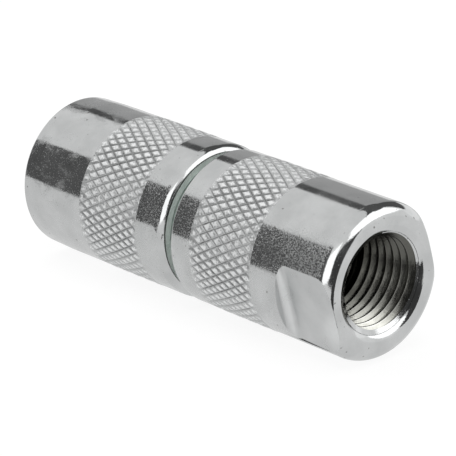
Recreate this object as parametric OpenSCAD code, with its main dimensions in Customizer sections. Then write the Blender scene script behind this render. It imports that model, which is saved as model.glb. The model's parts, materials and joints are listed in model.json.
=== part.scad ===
// Grease coupler: two knurled steel shells screwed together, holding a check valve,
// a sprung piston with a rubber nozzle, and four collet jaws that grip a grease nipple.
// Every piece is drawn along +Z, from the inlet face at zero towards the nose,
// and lay_down() then turns it so that the inlet opens along +X.

/* [Inlet body] */
// Outer diameter of the inlet body
body_d = 15.5; // [14.8:0.1:18]
// Length from the inlet face to the front shoulder
body_len = 21.1; // [20.5:0.05:24]
// Radial width of the bevel round the inlet face
inlet_bevel_w = 1.1; // [0.3:0.05:1.3]
// Length of that bevel along the body
inlet_bevel_l = 0.65; // [0.3:0.05:1]
// Radius between that bevel and the barrel
inlet_edge_r = 1.3; // [0.1:0.05:1.5]
// Chamfer on the front shoulder
shoulder_chamfer = 0.1; // [0.05:0.05:0.6]
// Length of the threaded spigot in front of the shoulder
spigot_len = 9.2; // [8.5:0.05:9.6]
// Chamfer on the spigot's front edge
spigot_chamfer = 0.4; // [0.1:0.05:0.5]

/* [Wrench flats] */
// Width across the two flats
flat_af = 13; // [12.5:0.1:14.5]
// Length of the flats from the inlet face
flat_len = 6.4; // [4:0.1:8.5]
// Radius that the cutter leaves at the end of a flat
flat_runout_r = 0.2; // [0.1:0.1:3]
// How far the flats are turned from upright
flat_clocking = 16.5; // [-45:0.5:45]

/* [Knurls] */
// Start of the knurl on the inlet body, from the inlet face
body_knurl_start = 10; // [9:0.1:11]
// Start of the knurl on the jaw sleeve, from the sleeve's rear face
sleeve_knurl_start = 3.6; // [2:0.1:6]
// Length of each knurl
knurl_len = 8.5; // [6:0.1:9]
// Number of diamonds round each knurl
knurl_starts = 50; // [36:1:60]
// Angle between the knurl's grooves and the axis
knurl_angle = 29; // [25:1:40]
// How far the diamonds stand out of the plain surface
knurl_proud = 0.05; // [0.05:0.05:0.3]
// How deep the grooves lie below the plain surface
knurl_depth = 0.2; // [0.1:0.05:0.3]

/* [Inlet thread] */
// Nominal diameter of the inlet thread
inlet_thread_d = 10; // [9:0.1:10.4]
// Pitch of the inlet thread
inlet_pitch = 1; // [0.75:0.05:1.25]
// Depth of the threaded hole from the inlet face
inlet_depth = 8.5; // [6:0.1:9]
// Diameter of the countersink at the inlet face
inlet_mouth_d = 11.2; // [10.6:0.1:12]
// Full angle of the countersink
countersink_angle = 120; // [90:5:120]
// Half angle of the drilled bottom of the hole
drill_half_angle = 59; // [45:1:75]

/* [Check valve] */
// Diameter of the check ball
ball_d = 4; // [3.6:0.1:4.2]
// Diameter of the grease passage behind the ball
passage_d = 2.4; // [1.6:0.1:2.5]
// Length of that passage
passage_len = 1.7; // [1:0.1:2]
// Room between the ball and the wall of its chamber
ball_room = 0.7; // [0.4:0.05:0.9]
// Gap between the closed ball and its seat
ball_seat_gap = 0.03; // [0.01:0.01:0.1]
// Wire of the valve spring
valve_wire_d = 0.3; // [0.2:0.05:0.4]
// Mean coil diameter of the valve spring
valve_coil_d = 2.7; // [2.2:0.1:3]
// Length of the valve spring between ball and plate
valve_spring_len = 2.6; // [2.4:0.1:3]
// Active turns of the valve spring
valve_turns = 2.5; // [2:0.5:3]

/* [Spring plate] */
// Thickness of the perforated plate between the two springs
plate_t = 0.8; // [0.5:0.1:1.2]
// Gap between the plate's rim and the bore
plate_gap = 0.05; // [0.02:0.01:0.15]
// Diameter of the hole in the plate's middle
plate_hole_d = 1.6; // [1:0.1:2]
// Diameter of the grease holes round it
plate_port_d = 0.9; // [0.5:0.1:1]
// Diameter of the circle of grease holes
plate_port_circle_d = 4.2; // [4:0.1:4.5]
// Number of grease holes
plate_ports = 6; // [4:1:8]

/* [Piston and nozzle] */
// Outer diameter of the piston
piston_d = 8.3; // [7.8:0.1:8.6]
// Running gap between the piston and its bore
piston_gap = 0.05; // [0.02:0.01:0.1]
// Free length behind the piston, for its stroke and for tightening the sleeve
piston_room = 4.7; // [4:0.1:5]
// Wall of the piston's skirt round the spring
skirt_wall = 0.65; // [0.4:0.05:0.9]
// Length of the solid head between spring and nozzle
piston_web = 3.3; // [2:0.1:4]
// Diameter of the flange that pushes the jaws
flange_d = 10.8; // [9.8:0.1:11.4]
// Thickness of that flange
flange_t = 0.8; // [0.5:0.1:0.85]
// Diameter of the grease channel through piston and nozzle
channel_d = 1.6; // [1:0.1:2]
// Diameter of the rubber nozzle
nozzle_d = 5.3; // [4.8:0.1:5.5]
// Depth of its pocket in the piston
nozzle_pocket = 1.5; // [1:0.1:2]
// How far the nozzle stands out of the piston
nozzle_out = 1.5; // [0.8:0.1:1.8]
// Chamfer on the nozzle's front edge
nozzle_chamfer = 0.3; // [0.1:0.05:0.5]
// Diameter of the hollow in the nozzle's face
nozzle_hollow_d = 3.6; // [2.4:0.1:4.2]
// Depth of that hollow
nozzle_hollow = 0.6; // [0.2:0.1:0.7]
// Depth of the groove in the bore for the piston's O-ring
gland_depth = 1; // [0.6:0.05:1.1]
// Length of that groove
gland_len = 1.3; // [1.2:0.05:1.5]
// Wall left between the groove and the spigot's front end
gland_wall = 1; // [0.8:0.05:1.5]
// Gap left all round an O-ring
ring_gap = 0.03; // [0.01:0.01:0.06]

/* [Main spring] */
// Wire of the main spring
main_wire_d = 0.8; // [0.6:0.05:0.9]
// Gap between the spring and the piston's skirt
main_spring_gap = 0.15; // [0.1:0.05:0.3]
// Active turns of the main spring
main_turns = 5; // [4:0.5:6]
// Gap at each end of a spring
spring_end_gap = 0.02; // [0.01:0.01:0.05]

/* [Jaw sleeve] */
// How far the sleeve stands out beyond the inlet body
sleeve_over = 0.05; // [0:0.05:0.5]
// Wall of the sleeve round its thread
sleeve_wall = 1.6; // [1.4:0.05:1.8]
// Length of the jaw sleeve
sleeve_len = 20.9; // [20.4:0.05:24]
// Gap between the inlet body's shoulder and the sleeve
sleeve_standoff = 1.5; // [1.4:0.05:2]
// Radial width of the bevel round the sleeve's rear face
sleeve_bevel_w = 0.65; // [0.2:0.05:0.8]
// Length of that bevel along the sleeve
sleeve_bevel_l = 0.4; // [0.2:0.05:0.6]
// Radius between that bevel and the barrel
sleeve_edge_r = 0.8; // [0.1:0.05:1]
// Length of the slight taper behind the nose
nose_taper_len = 3.2; // [1:0.05:4]
// How much the radius falls over that taper
nose_taper = 0.1; // [0:0.05:0.3]
// Radius of the nose's outer edge
nose_edge_r = 0.25; // [0.1:0.05:1]
// Running gap between the sleeve's thread and the spigot
thread_gap = 0.05; // [0.02:0.01:0.1]
// Depth of the groove in the sleeve for its O-ring
sleeve_groove_depth = 0.85; // [0.5:0.05:0.9]
// Length of that groove
sleeve_groove_len = 1.3; // [1.2:0.05:1.6]
// Distance of that groove from the sleeve's rear face
sleeve_groove_start = 1.4; // [1.2:0.1:1.6]
// Length of the relief between thread and cone
relief_len = 1.3; // [0.8:0.1:1.5]
// Depth of the relief below the thread
relief_depth = 0.45; // [0.4:0.05:0.6]
// Distance from the spigot's end to the relief
relief_start = 1; // [0.5:0.1:1.2]

/* [Jaws] */
// Half angle of the cone that closes the jaws
cone_angle = 12; // [10:0.5:12.5]
// Diameter of the opening in the nose
nose_d = 8.4; // [8.3:0.1:8.8]
// Gap between the jaws and the cone
cone_gap = 0.04; // [0.02:0.01:0.1]
// Length of the jaws
jaw_len = 7.4; // [7:0.1:7.6]
// How far the jaws lie behind the nose face
jaw_recess = 0.9; // [0.3:0.05:1.1]
// Width of the saw cut between two jaws
jaw_kerf = 0.6; // [0.3:0.1:1]
// Gap between the jaws and the piston's flange
jaw_seat_gap = 0.1; // [0.05:0.05:0.2]
// Diameter that grips the neck of a nipple
grip_d = 5.8; // [5.4:0.1:6]
// Length of the gripping land
grip_len = 0.7; // [0.4:0.1:1]
// Diameter of the hollow for the nipple's head
head_d = 6.8; // [6.4:0.1:7.2]
// Length of that hollow
head_len = 3.3; // [2.8:0.1:3.6]
// Clear gap round the nozzle in the jaws
nozzle_room = 0.35; // [0.2:0.05:0.5]
// Wall of a jaw at its front edge
jaw_lip_wall = 0.6; // [0.3:0.05:0.8]

/* [Hidden] */
round_fn = 96;
wire_fn = 8;
rings_per_turn = 16;
overshoot = 1;
edge_steps = 6;
knurl_root = 0.2;
knurl_bury = 0.05;
dead_turns = 1;
dead_gap = 0.03;
jaw_count = 4;
steel = [0.74, 0.75, 0.76];
hardened = [0.42, 0.42, 0.44];
spring_steel = [0.55, 0.56, 0.58];
nitrile = [0.08, 0.08, 0.09];

// Inlet side, from the inlet face forward
body_r = body_d / 2;
inlet_bore_r = (inlet_thread_d - 1.0825 * inlet_pitch) / 2;
thread_mouth = (inlet_mouth_d / 2 - inlet_bore_r) / tan(countersink_angle / 2);
passage_r = passage_d / 2;
drill_end = inlet_depth + (inlet_bore_r - passage_r) / tan(drill_half_angle);
ball_r = ball_d / 2;
chamber_r = ball_r + ball_room;
seat_start = drill_end + passage_len;
seat_end = seat_start + chamber_r - passage_r;
ball_centre = seat_start - passage_r + (ball_r + ball_seat_gap) / sin(45);
valve_coil_r = valve_coil_d / 2;
ball_touch_r = ball_r + valve_wire_d / 2 + spring_end_gap;
valve_spring_start = ball_centre + sqrt(ball_touch_r * ball_touch_r - valve_coil_r * valve_coil_r)
    - valve_wire_d / 2;
plate_start = valve_spring_start + valve_spring_len + spring_end_gap;
plate_end = plate_start + plate_t;

// Spigot and sleeve
sleeve_r = body_r + sleeve_over;
sleeve_bore_r = sleeve_r - sleeve_wall;
spigot_r = sleeve_bore_r - thread_gap;
spigot_end = body_len + spigot_len;
sleeve_start = body_len + sleeve_standoff;
sleeve_end = sleeve_start + sleeve_len;
nose_r = sleeve_r - nose_taper;
relief_from = spigot_end + relief_start;
cone_from = relief_from + relief_len;

// Jaws and piston, from the nose backward
jaw_front = sleeve_end - jaw_recess;
jaw_rear = jaw_front - jaw_len;
flange_front = jaw_rear - jaw_seat_gap;
flange_rear = flange_front - flange_t;
piston_r = piston_d / 2;
piston_bore_r = piston_r + piston_gap;
piston_rear = plate_end + piston_room;
pocket_end = flange_front - nozzle_pocket - piston_web;
pocket_r = piston_r - skirt_wall;
nozzle_r = nozzle_d / 2;
main_coil_r = pocket_r - main_spring_gap - main_wire_d / 2;
gland_r = piston_bore_r + gland_depth;
gland_end = spigot_end - gland_wall;
groove_r = sleeve_bore_r + sleeve_groove_depth;
groove_from = sleeve_start + sleeve_groove_start;

// Radius of the sleeve's cone at a distance from the inlet face
function cone_r(s) = nose_d / 2 + (sleeve_end - s) * tan(cone_angle);
// Radius of the jaws' outside there
function jaw_r(s) = cone_r(s) - cone_gap / cos(cone_angle);

// Lays a piece down: the start of the inlet thread comes to the origin, the inlet opens along +X
module lay_down() {
    translate([thread_mouth, 0, 0])
        rotate([0, -90, 0])
            children();
}

// Solid of revolution from a list of [radius, distance from the inlet face]
module turned(outline) {
    rotate_extrude($fn = round_fn)
        polygon(outline);
}

// Round edge of a turned outline, between two angles from the radial direction
function round_edge(r, centre_r, centre, from, to) = [
    for (i = [0 : edge_steps])
        let (angle = from + (to - from) * i / edge_steps)
        [centre_r + r * cos(angle), centre + r * sin(angle)]
];

// Outline of a shell's rear edge: a bevel that runs round into the barrel
function bevelled_edge(plain_r, from, bevel_w, bevel_l, edge_r) =
    let (turn = atan2(bevel_w, bevel_l))
    let (centre = from + bevel_l + edge_r * tan(turn / 2))
    [[plain_r - bevel_w, from], each round_edge(edge_r, plain_r - edge_r, centre, -turn, 0)];

// Round hole between two distances
module bored(r, from, to) {
    translate([0, 0, from])
        cylinder(r = r, h = to - from, $fn = round_fn);
}

// Ring of round section that fills a groove
module o_ring(inner_r, outer_r, middle) {
    section_r = (outer_r - inner_r) / 2 - ring_gap;
    translate([0, 0, middle])
        rotate_extrude($fn = round_fn)
            translate([(inner_r + outer_r) / 2, 0])
                circle(r = section_r, $fn = round_fn);
}

// Outline of the shallow groove in a shell that a knurl fills
function knurl_seat(plain_r, from) = [
    [plain_r, from],
    [plain_r - knurl_depth - knurl_root, from],
    [plain_r - knurl_depth - knurl_root, from + knurl_len],
    [plain_r, from + knurl_len]
];

// Ring of pyramids: a lattice of peaks and of groove crossings, two columns to a diamond.
// Its first and last rows are low and lie just inside the walls of the groove.
module knurl_diamonds(plain_r, from) {
    columns = 2 * knurl_starts;
    row_pitch = PI * plain_r / knurl_starts / tan(knurl_angle);
    rows = max(2, round(knurl_len / row_pitch));
    low_r = plain_r - knurl_depth;
    peak_r = plain_r + knurl_proud;
    root_r = low_r - 2 * knurl_root;
    first_row = from - knurl_bury;
    last_row = from + knurl_len + knurl_bury;
    function is_peak(row, column) = row > 0 && row < rows && (row + column) % 2 == 0;
    function row_at(row) = row == 0 ? first_row : row == rows ? last_row : from + knurl_len * row / rows;
    function on_ring(r, column, height) =
        [r * cos(360 * column / columns), r * sin(360 * column / columns), height];
    outside = [
        for (row = [0 : rows])
            for (column = [0 : columns - 1])
                on_ring(is_peak(row, column) ? peak_r : low_r, column, row_at(row))
    ];
    inside = [
        for (height = [first_row, last_row])
            for (column = [0 : columns - 1])
                on_ring(root_r, column, height)
    ];
    slopes = [
        for (row = [0 : rows - 1])
            for (column = [0 : columns - 1])
                let (a = row * columns + column)
                let (b = row * columns + (column + 1) % columns)
                let (c = a + columns)
                let (d = b + columns)
                each ((row + column) % 2 == 0 ? [[a, c, b], [b, c, d]] : [[a, d, b], [a, c, d]])
    ];
    last = rows * columns;
    root = last + columns;
    walls = [
        for (column = [0 : columns - 1])
            let (next = (column + 1) % columns)
            each [
                [column, next, root + next, root + column],
                [last + next, last + column, root + columns + column, root + columns + next],
                [root + column, root + next, root + columns + next, root + columns + column]
            ]
    ];
    polyhedron(concat(outside, inside), concat(slopes, walls));
}

// Height of a spring's wire above its start after some turns, with closed turns at both ends
function coil_rise(turn, active, closed_pitch, open_pitch) =
    closed_pitch * min(turn, dead_turns)
    + open_pitch * max(0, min(turn - dead_turns, active))
    + closed_pitch * max(0, turn - dead_turns - active);

// Compression spring between two distances
module coil_spring(coil_r, wire_d, from, to, active) {
    wire_r = wire_d / 2;
    closed_pitch = wire_d + dead_gap;
    open_pitch = (to - from - wire_d - 2 * dead_turns * closed_pitch) / active;
    turns = active + 2 * dead_turns;
    last = ceil(turns * rings_per_turn);
    points = [
        for (i = [0 : last])
            let (turn = turns * i / last)
            let (height = from + wire_r + coil_rise(turn, active, closed_pitch, open_pitch))
            for (j = [0 : wire_fn - 1])
                let (across = coil_r + wire_r * cos(360 * j / wire_fn))
                [
                    across * cos(360 * turn),
                    across * sin(360 * turn),
                    height + wire_r * sin(360 * j / wire_fn)
                ]
    ];
    sides = [
        for (i = [0 : last - 1])
            for (j = [0 : wire_fn - 1])
                let (k = (j + 1) % wire_fn)
                let (here = i * wire_fn)
                let (next = here + wire_fn)
                each [[here + j, here + k, next + k], [here + j, next + k, next + j]]
    ];
    first_end = [[for (j = [wire_fn - 1 : -1 : 0]) j]];
    last_end = [[for (j = [0 : wire_fn - 1]) last * wire_fn + j]];
    polyhedron(points, concat(sides, first_end, last_end));
}

// Cut of one wrench flat, with the curved run-out of the cutter
module flat_cut() {
    straight = flat_len - flat_runout_r;
    floor_r = flat_af / 2;
    translate([floor_r, -body_d, -overshoot])
        cube([body_d, 2 * body_d, straight + overshoot]);
    translate([floor_r + flat_runout_r, -body_d, straight])
        rotate([-90, 0, 0])
            cylinder(r = flat_runout_r, h = 2 * body_d, $fn = round_fn);
    translate([floor_r + flat_runout_r, -body_d, 0])
        cube([body_d, 2 * body_d, flat_len]);
}

// Holes through the inlet body: thread, grease passage, valve chamber and piston bore
module body_bores() {
    turned([
        [0, -overshoot],
        [inlet_mouth_d / 2 + overshoot * tan(countersink_angle / 2), -overshoot],
        [inlet_bore_r, thread_mouth],
        [inlet_bore_r, inlet_depth],
        [passage_r, drill_end],
        [passage_r, seat_start],
        [chamber_r, seat_end],
        [chamber_r, plate_start + overshoot],
        [0, plate_start + overshoot]
    ]);
    bored(piston_bore_r, plate_start, spigot_end + overshoot);
    bored(gland_r, gland_end - gland_len, gland_end);
}

module inlet_body() {
    color(steel)
        lay_down()
            difference() {
                union() {
                    turned([
                        [0, 0],
                        each bevelled_edge(body_r, 0, inlet_bevel_w, inlet_bevel_l, inlet_edge_r),
                        each knurl_seat(body_r, body_knurl_start),
                        [body_r, body_len - shoulder_chamfer],
                        [body_r - shoulder_chamfer, body_len],
                        [spigot_r, body_len],
                        [spigot_r, spigot_end - spigot_chamfer],
                        [spigot_r - spigot_chamfer, spigot_end],
                        [0, spigot_end]
                    ]);
                    knurl_diamonds(body_r, body_knurl_start);
                }
                body_bores();
                for (side = [90, -90])
                    rotate(side - flat_clocking)
                        flat_cut();
            }
}

module check_ball() {
    color(hardened)
        lay_down()
            translate([0, 0, ball_centre])
                sphere(r = ball_r, $fn = round_fn);
}

module valve_spring() {
    color(spring_steel)
        lay_down()
            coil_spring(valve_coil_r, valve_wire_d, valve_spring_start,
                valve_spring_start + valve_spring_len, valve_turns);
}

module spring_plate() {
    color(steel)
        lay_down()
            difference() {
                bored(piston_bore_r - plate_gap, plate_start, plate_end);
                bored(plate_hole_d / 2, plate_start - overshoot, plate_end + overshoot);
                for (i = [0 : plate_ports - 1])
                    rotate(i * 360 / plate_ports)
                        translate([plate_port_circle_d / 2, 0, 0])
                            bored(plate_port_d / 2, plate_start - overshoot, plate_end + overshoot);
            }
}

module main_spring() {
    color(spring_steel)
        lay_down()
            coil_spring(main_coil_r, main_wire_d, plate_end + spring_end_gap,
                pocket_end - spring_end_gap, main_turns);
}

module piston() {
    color(steel)
        lay_down()
            difference() {
                turned([
                    [0, piston_rear],
                    [piston_r, piston_rear],
                    [piston_r, flange_rear],
                    [flange_d / 2, flange_rear],
                    [flange_d / 2, flange_front],
                    [0, flange_front]
                ]);
                bored(pocket_r, piston_rear - overshoot, pocket_end);
                bored(channel_d / 2, pocket_end - overshoot, flange_front);
                bored(nozzle_r, flange_front - nozzle_pocket, flange_front + overshoot);
            }
}

module piston_o_ring() {
    color(nitrile)
        lay_down()
            o_ring(piston_r, gland_r, gland_end - gland_len / 2);
}

module nozzle_seal() {
    base = flange_front - nozzle_pocket;
    tip = flange_front + nozzle_out;
    color(nitrile)
        lay_down()
            turned([
                [channel_d / 2, base],
                [nozzle_r, base],
                [nozzle_r, tip - nozzle_chamfer],
                [nozzle_r - nozzle_chamfer, tip],
                [nozzle_hollow_d / 2, tip],
                [channel_d / 2, tip - nozzle_hollow]
            ]);
}

// One of the jaws: a quarter of a turned collet, cut out by two saw cuts
module jaw(number) {
    grip_front = jaw_front - (jaw_r(jaw_front) - jaw_lip_wall - grip_d / 2);
    grip_rear = grip_front - grip_len;
    head_front = grip_rear - (head_d - grip_d) / 2;
    head_rear = head_front - head_len;
    rear_r = nozzle_r + nozzle_room;
    color(hardened)
        lay_down()
            intersection() {
                turned([
                    [jaw_r(jaw_rear), jaw_rear],
                    [jaw_r(jaw_front), jaw_front],
                    [jaw_r(jaw_front) - jaw_lip_wall, jaw_front],
                    [grip_d / 2, grip_front],
                    [grip_d / 2, grip_rear],
                    [head_d / 2, head_front],
                    [head_d / 2, head_rear],
                    [rear_r, head_rear - (head_d / 2 - rear_r)],
                    [rear_r, jaw_rear]
                ]);
                rotate((number - 1) * 360 / jaw_count - 45)
                    translate([jaw_kerf / 2, jaw_kerf / 2, 0])
                        cube([sleeve_r, sleeve_r, sleeve_end]);
            }
}

module jaw_sleeve() {
    color(steel)
        lay_down()
            difference() {
                union() {
                    turned([
                        [0, sleeve_start],
                        each bevelled_edge(
                            sleeve_r, sleeve_start, sleeve_bevel_w, sleeve_bevel_l, sleeve_edge_r),
                        each knurl_seat(sleeve_r, sleeve_start + sleeve_knurl_start),
                        [sleeve_r, sleeve_end - nose_taper_len],
                        each round_edge(
                            nose_edge_r, nose_r - nose_edge_r, sleeve_end - nose_edge_r, 0, 90),
                        [0, sleeve_end]
                    ]);
                    knurl_diamonds(sleeve_r, sleeve_start + sleeve_knurl_start);
                }
                turned([
                    [0, sleeve_start - overshoot],
                    [sleeve_bore_r, sleeve_start - overshoot],
                    [sleeve_bore_r, relief_from],
                    [sleeve_bore_r + relief_depth, relief_from],
                    [sleeve_bore_r + relief_depth, cone_from],
                    [cone_r(cone_from), cone_from],
                    [cone_r(sleeve_end + overshoot), sleeve_end + overshoot],
                    [0, sleeve_end + overshoot]
                ]);
                bored(groove_r, groove_from, groove_from + sleeve_groove_len);
            }
}

module sleeve_o_ring() {
    color(nitrile)
        lay_down()
            o_ring(spigot_r, groove_r, groove_from + sleeve_groove_len / 2);
}

inlet_body();
check_ball();
valve_spring();
spring_plate();
main_spring();
piston();
piston_o_ring();
nozzle_seal();
jaw(1);  // jaw_1
jaw(2);  // jaw_2
jaw(3);  // jaw_3
jaw(4);  // jaw_4
jaw_sleeve();
sleeve_o_ring();
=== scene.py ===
"""Looks of the grease coupler: knurled zinc-plated shells, collet jaws, springs and rubber nozzle.

Distances along the coupler are measured from the inlet face towards the nose, in mm.
"""
import json
import math

import bpy
from mathutils import Euler, Vector, noise as value_noise
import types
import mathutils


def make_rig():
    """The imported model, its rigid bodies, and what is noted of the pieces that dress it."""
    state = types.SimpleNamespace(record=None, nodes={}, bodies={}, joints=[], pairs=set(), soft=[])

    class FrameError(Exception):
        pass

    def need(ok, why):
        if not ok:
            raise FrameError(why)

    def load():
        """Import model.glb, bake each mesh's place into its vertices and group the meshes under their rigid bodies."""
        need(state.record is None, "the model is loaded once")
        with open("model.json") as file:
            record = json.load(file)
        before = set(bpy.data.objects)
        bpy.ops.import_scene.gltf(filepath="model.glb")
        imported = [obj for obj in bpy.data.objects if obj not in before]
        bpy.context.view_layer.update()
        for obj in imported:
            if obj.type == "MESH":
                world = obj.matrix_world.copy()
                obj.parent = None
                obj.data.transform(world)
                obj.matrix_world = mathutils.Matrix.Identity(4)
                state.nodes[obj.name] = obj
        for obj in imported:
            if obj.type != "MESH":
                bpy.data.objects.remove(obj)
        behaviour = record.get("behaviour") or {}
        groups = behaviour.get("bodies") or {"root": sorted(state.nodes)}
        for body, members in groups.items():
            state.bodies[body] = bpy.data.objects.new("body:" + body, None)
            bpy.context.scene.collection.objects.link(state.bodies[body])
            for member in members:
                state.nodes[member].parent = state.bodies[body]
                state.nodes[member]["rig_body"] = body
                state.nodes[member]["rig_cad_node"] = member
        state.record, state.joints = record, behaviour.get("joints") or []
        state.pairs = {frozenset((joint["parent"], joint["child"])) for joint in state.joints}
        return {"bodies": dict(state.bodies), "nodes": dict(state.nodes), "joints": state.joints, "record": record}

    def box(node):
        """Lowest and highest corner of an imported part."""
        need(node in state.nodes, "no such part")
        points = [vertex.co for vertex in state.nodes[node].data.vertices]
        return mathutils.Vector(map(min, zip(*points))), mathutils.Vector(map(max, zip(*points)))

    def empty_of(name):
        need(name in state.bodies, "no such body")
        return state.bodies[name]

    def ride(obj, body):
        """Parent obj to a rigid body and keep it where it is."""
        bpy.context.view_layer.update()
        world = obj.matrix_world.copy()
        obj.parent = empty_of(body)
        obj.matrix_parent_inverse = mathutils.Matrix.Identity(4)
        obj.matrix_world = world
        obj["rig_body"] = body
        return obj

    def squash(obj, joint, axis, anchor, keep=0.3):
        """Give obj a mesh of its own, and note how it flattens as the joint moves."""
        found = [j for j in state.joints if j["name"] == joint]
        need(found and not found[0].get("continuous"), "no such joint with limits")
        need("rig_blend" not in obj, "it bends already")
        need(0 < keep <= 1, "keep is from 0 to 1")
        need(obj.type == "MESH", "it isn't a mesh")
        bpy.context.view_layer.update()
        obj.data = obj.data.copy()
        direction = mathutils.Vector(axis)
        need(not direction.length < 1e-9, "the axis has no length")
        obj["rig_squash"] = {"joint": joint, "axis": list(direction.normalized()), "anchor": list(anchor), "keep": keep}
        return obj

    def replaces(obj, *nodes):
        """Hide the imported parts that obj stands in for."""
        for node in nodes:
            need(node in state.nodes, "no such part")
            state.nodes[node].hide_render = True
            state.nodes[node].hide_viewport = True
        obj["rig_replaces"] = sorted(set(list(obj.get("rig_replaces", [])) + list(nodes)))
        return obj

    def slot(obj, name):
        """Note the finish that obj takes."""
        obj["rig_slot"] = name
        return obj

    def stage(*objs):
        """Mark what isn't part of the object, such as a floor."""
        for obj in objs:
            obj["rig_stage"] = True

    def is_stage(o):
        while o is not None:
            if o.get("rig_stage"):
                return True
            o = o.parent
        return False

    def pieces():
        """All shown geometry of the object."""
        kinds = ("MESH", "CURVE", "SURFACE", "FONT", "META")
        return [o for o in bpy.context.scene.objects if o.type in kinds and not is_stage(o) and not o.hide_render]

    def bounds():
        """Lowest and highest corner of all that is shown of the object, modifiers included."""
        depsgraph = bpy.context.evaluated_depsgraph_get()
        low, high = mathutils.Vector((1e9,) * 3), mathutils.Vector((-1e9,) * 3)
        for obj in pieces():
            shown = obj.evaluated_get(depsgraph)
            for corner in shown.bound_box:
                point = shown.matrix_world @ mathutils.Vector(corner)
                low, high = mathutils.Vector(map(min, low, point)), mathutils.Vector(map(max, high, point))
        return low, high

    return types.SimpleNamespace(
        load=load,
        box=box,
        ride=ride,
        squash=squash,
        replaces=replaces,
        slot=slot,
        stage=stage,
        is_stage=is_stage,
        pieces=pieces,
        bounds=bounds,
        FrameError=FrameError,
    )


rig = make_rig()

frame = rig.load()
cad_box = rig.bounds()

MM = 0.001
TOUCHING = 0.001 * MM

# Inlet body
BODY_R = 7.75
FACE_R = 6.65
FACE_EDGE_ROUND = 0.25
MOUTH_ROUND = 0.15
BEVEL_END = 0.65
BEVEL_ROUND = 0.742
SHOULDER = 21.2
SHOULDER_ROUND = 0.25
SPIGOT_R = 6.15
SPIGOT_LAND_END = 26.2
SPIGOT_END = 30.3
SPIGOT_CHAMFER = 0.4
SPIGOT_CORE_R = SPIGOT_R - 0.6
SPIGOT_THREAD = (SPIGOT_LAND_END + 0.8, SPIGOT_END - 0.5)
EDGE_ROUND = 0.06
BROKEN_EDGE = 0.09

# Tooth of both threads, with flank and crest as shares of the pitch
THREAD_PITCH = 1.0
FLANK = 0.39
CREST = 0.13
CREST_ROUND = 0.04
TOOTH_FOOT = 0.05

# Inlet thread, M10x1, and the holes behind it
MOUTH_R = 5.6
COUNTERSINK_HALF_ANGLE = 60
INLET_ROOT_R = 5.0
INLET_CREST_R = 4.459
THREAD_START = 0.2
THREAD_END = 8.4
# How deep the countersink trims the thread, and how far the trimmed faces turn to the inlet
TRIM_REACH = 0.7
TRIM_LEAN = 0.84
TAP_HOLE_END = 8.5
DRILL_END = 10.458
PASSAGE_R = 1.2
SEAT_START = 12.158
CHAMBER_R = 2.7
SEAT_END = SEAT_START + CHAMBER_R - PASSAGE_R
PISTON_BORE_START = 17.998
PISTON_BORE_R = 4.2
GLAND = (28.0, 29.3)
GLAND_R = 5.2

# Wrench flats
FLAT_HALF_WIDTH = 6.5
FLAT_END = 6.45
FLAT_RUNOUT_R = 0.9
FLAT_ANGLES = (-106.5, 73.5)
# Where their finish lies, along and across the axis, and how to tell it from the bevel
FLAT_REACH = (0.5, 7)
FLAT_REACH_R = (INLET_ROOT_R + 1, BODY_R - 0.1)
FLAT_LEAN = 0.2
BEVEL_REACH = 2
# How far a cutter reaches past what it cuts
CUTTER_SPARE = 1

# Jaw sleeve
SLEEVE_R = 7.8
SLEEVE_START = 22.6
SLEEVE_REAR_R = 7.15
SLEEVE_BEVEL_END = 23.0
SLEEVE_ROUND = 0.447
SLEEVE_BORE_R = 6.2
SLEEVE_MOUTH = 0.25
SLEEVE_GROOVE = (24.0, 25.3)
SLEEVE_GROOVE_R = 7.05
RELIEF = (31.3, 32.6)
RELIEF_R = 6.65
CONE_REAR_R = 6.517
NOSE_TAPER_START = 40.3
NOSE_TAPER_EASE = 0.1
NOSE_END = 43.5
NOSE_R = 7.7
NOSE_ROUND = 0.25
NOSE_HOLE_R = 4.2

# Knurls
KNURL_STARTS = (10.0, 26.2)
KNURL_LENGTH = 8.5
KNURL_ROWS = 10
KNURL_COUNT = 50
KNURL_LOW = 0.12
KNURL_PROUD = 0.05
KNURL_SEAT = 0.3
KNURL_FADE = 0.7
KNURL_FIRST_ROW = -0.33
KNURL_TURNS = (4.55, 6.46)
# Steps of a diamond: inset, and rise as a share of its height; then the rise of its tip
DIAMOND_STEPS = ((0.05, 0.35), (0.15, 0.5))
DIAMOND_TIP = 0.15
# Steps in length and width by which the band's ends dive under the plain surface
KNURL_SKIRT = ((1.06, 0.98), (1, 0.95))

# Collet jaws
JAW_REAR = 35.2
JAW_FRONT = 42.6
JAW_REAR_R = 5.92
JAW_FRONT_R = 4.35
JAW_LIP_R = 3.75
JAW_GRIP = (41.05, 41.75)
JAW_GRIP_R = 2.9
JAW_HEAD = (37.25, 40.55)
JAW_HEAD_R = 3.4
JAW_TAIL_R = 3.0
JAW_KERF = 0.6

# Rubber nozzle
NOZZLE = (33.6, 36.6)
NOZZLE_R = 2.65
NOZZLE_HOLLOW = 0.6
NOZZLE_HOLLOW_R = 1.8
NOZZLE_RIM_ROUND = 0.4
NOZZLE_HOLLOW_ROUND = 0.15
CHANNEL_R = 0.8

# Springs, and how far their joints press them together
VALVE_WIRE = 0.3
VALVE_TURNS = 4
BALL_LIFT = 0.9
MAIN_WIRE = 0.8
MAIN_TURNS = 6
PISTON_STROKE = 2.4

# Steps round the axis, and sides of a spring's wire
ROUND_STEPS = 160
JAW_STEPS = 96
NOZZLE_STEPS = 64
THREAD_STEPS = 72
WIRE_STEPS = 32
WIRE_SIDES = 8

# Finishes of a shell, in the order of its slots
DULL = 1
BORE = 2
MILLED = 3
PAINTED_SHADE = 4
# Finish of the thread where the countersink trims it
COUNTERSUNK = 1
# How far the middle of a face may lie off its surface, and when it counts as facing the inlet
SLACK = 0.02
SQUARE_ON = 0.99

# Range that most of a noise texture lies in
NOISE_RANGE = (0.3, 0.7)

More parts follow.
